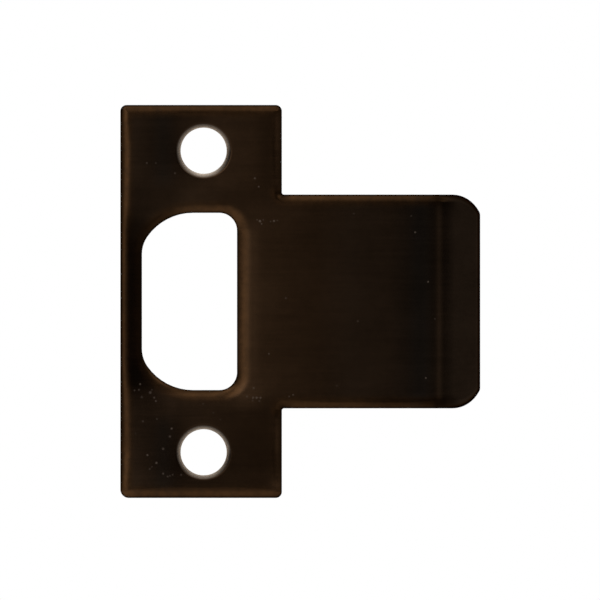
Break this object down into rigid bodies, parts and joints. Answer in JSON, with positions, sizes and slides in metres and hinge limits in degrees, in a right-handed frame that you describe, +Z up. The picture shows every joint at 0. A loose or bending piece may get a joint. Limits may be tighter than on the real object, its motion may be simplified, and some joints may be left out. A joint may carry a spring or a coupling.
{
  "type": "door strike plate",
  "caption": "Flat strike plate with a tall latch opening, countersunk screw holes and a long lip, bent back at its end, that guides a door's latch bolt in.",
  "frame": {"origin": "midway between the two screw holes, on the back face, which lies against the door jamb", "axes": "+Z up along the plate, +X from the plate towards the end of the lip, +Y into the jamb, so the front face looks along -Y"},
  "size_m": [0.0641, 0.0058, 0.0698],
  "materials": {
    "bronzed_metal": "steel with a dark, brushed, oil-rubbed bronze finish"
  },
  "bodies": {
    "root": {"strike_plate": "bronzed_metal"}
  },
  "joints": []
}
